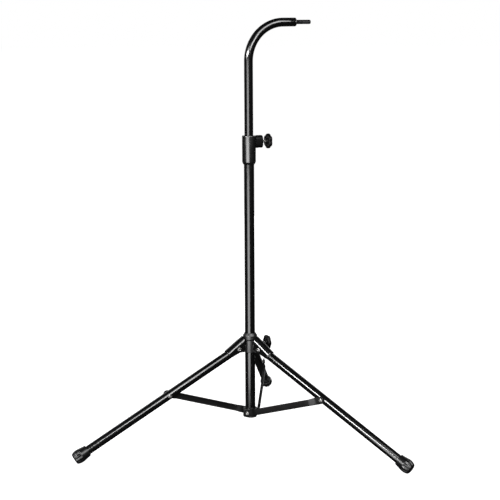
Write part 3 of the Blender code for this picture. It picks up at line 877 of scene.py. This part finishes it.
def make_leg(number):
    leg, strut, strut_length = LEGS[number]
    shaft = tube(LEG_R, LEG_R - TUBE_WALL, 12 * MM, LEG_LENGTH - FOOT_FLOOR - 0.5 * MM)
    piece(shaft, f"leg_tube_{number}", leg @ TO_X)
    make_bracket(f"leg_bracket_{number}", leg)
    cheek = LEG_R + GAP + BRACKET_WALL + GAP
    make_rivet(f"leg_pivot_rivet_{number}", -cheek, cheek, leg)
    make_foot(f"foot_{number}", leg)
    make_strut(f"strut_{number}", strut, strut_length)
    make_rivet(f"strut_rivet_{number}", -LEG_TAB_FACE - GAP, LEG_R + GAP, strut)
    washer = tube(5.0 * MM, RIVET_R + GAP, -LEG_R - 1.8 * MM, -LEG_R - GAP, 0.25 * MM, 64)
    piece(washer, f"strut_spacer_{number}", strut @ TO_Y)
    hub = strut @ Matrix.Translation((-strut_length, 0, 0))
    make_rivet(f"hub_rivet_{number}", -HUB_TAB_FACE - GAP, -HUB_FLAT - GAP, hub, head_at_end=False)


def linkage(number):
    """The leg's frame and the strut's, from their joints, and the strut's length."""
    fold, brace = JOINTS[f"leg_{number}_fold"], JOINTS[f"strut_{number}_fold"]
    pivot, strut_pivot = Vector(fold["pos_m"]), Vector(brace["pos_m"])
    sideways = Vector(fold["axis"]).normalized()
    outward = pivot - MAST
    outward.z = 0
    hub_pivot = MAST + outward.normalized() * HUB_REACH
    hub_pivot.z = HUB_PIVOT.z

    def along(start, end, origin):
        x = (end - start).normalized()
        z = x.cross(sideways)
        return Matrix.Translation(origin) @ Matrix((x, sideways, z)).transposed().to_4x4()

    leg = along(pivot, strut_pivot, pivot)
    strut = along(hub_pivot, strut_pivot, strut_pivot)
    return leg, strut, (strut_pivot - hub_pivot).length


LEGS = {number: linkage(number) for number in (1, 2, 3)}


# Lights, floor and camera


def area_light(name, azimuth, elevation, size, power):
    """A soft box that faces the target, from the given direction as seen from there."""
    data = bpy.data.lights.new(name, "AREA")
    data.shape = "RECTANGLE"
    data.size, data.size_y = size
    data.energy = power
    light = bpy.data.objects.new(name, data)
    across = Vector((cos(radians(azimuth)), sin(radians(azimuth)), 0)) * cos(radians(elevation))
    away = across + Vector((0, 0, sin(radians(elevation))))
    light.location = MAST + Vector((0, 0, LIGHT_TARGET_HEIGHT)) + away * LIGHT_DISTANCE
    light.rotation_euler = away.to_track_quat("Z", "Y").to_euler()
    light.visible_camera = False
    bpy.context.scene.collection.objects.link(light)


def light_studio():
    """The soft boxes, and a world that is white to the camera and nearly dark to the stand."""
    for name, settings in SOFTBOXES.items():
        area_light(name, *settings)
    world = bpy.data.worlds.new("studio")
    bpy.context.scene.world = world
    world.use_nodes = True
    nodes, links = world.node_tree.nodes, world.node_tree.links
    seen, unseen = nodes["Background"], nodes.new("ShaderNodeBackground")
    seen.inputs["Color"].default_value = (1, 1, 1, 1)
    unseen.inputs["Color"].default_value = (1, 1, 1, 1)
    unseen.inputs["Strength"].default_value = AMBIENT_STRENGTH
    mix, path = nodes.new("ShaderNodeMixShader"), nodes.new("ShaderNodeLightPath")
    links.new(path.outputs["Is Camera Ray"], mix.inputs["Fac"])
    links.new(unseen.outputs[0], mix.inputs[1])
    links.new(seen.outputs[0], mix.inputs[2])
    links.new(mix.outputs[0], nodes["World Output"].inputs["Surface"])
    bpy.context.scene.view_settings.view_transform = "Standard"


def lay_floor():
    """A large white floor that shines by itself, so that it takes no shadows.

    Reflections and bounced light ignore it.
    """
    made, add, join = new_material("floor_paper", (0.9, 0.9, 0.9), 0.9, level=0.1)
    join(blend_colour(add, noise(add, 6, 3), (0.88, 0.88, 0.88), (0.92, 0.92, 0.92)), "Base Color")
    surface = made.node_tree.nodes["Principled BSDF"]
    surface.inputs["Emission Color"].default_value = (1, 1, 1, 1)
    surface.inputs["Emission Strength"].default_value = 1.0
    bm = bmesh.new()
    bmesh.ops.create_circle(bm, cap_ends=True, segments=96, radius=FLOOR_R)
    floor = new_object(bm, "floor", Matrix.Translation((0, 0, -FLOOR_DROP)))
    floor.data.materials.append(made)
    floor.visible_glossy = False
    floor.visible_diffuse = False
    floor.visible_shadow = False


def place_camera():
    data = bpy.data.cameras.new("camera")
    data.sensor_width = CAMERA_SENSOR
    data.lens = CAMERA_LENS
    camera = bpy.data.objects.new("camera", data)
    heading = CAMERA_HEADING.normalized()
    forward = heading * cos(CAMERA_PITCH) - Vector((0, 0, sin(CAMERA_PITCH)))
    right = forward.cross(Vector((0, 0, 1))).normalized()
    up = right.cross(forward)
    turned = Matrix((right, up, -forward)).transposed().to_4x4()
    place = Vector((MAST.x + CAMERA_PLACE[0], MAST.y + CAMERA_PLACE[1], CAMERA_HEIGHT))
    camera.matrix_world = Matrix.Translation(place) @ turned @ Matrix.Rotation(CAMERA_ROLL, 4, "Z")
    bpy.context.scene.collection.objects.link(camera)
    bpy.context.scene.camera = camera


dress_frame()
make_mast()
make_arm()
make_clutch()
make_knob("upper_knob", 0)
make_collar()
make_knob("lower_knob", pi / KNOB_LOBES)
for leg_number in LEGS:
    make_leg(leg_number)
light_studio()
lay_floor()
place_camera()
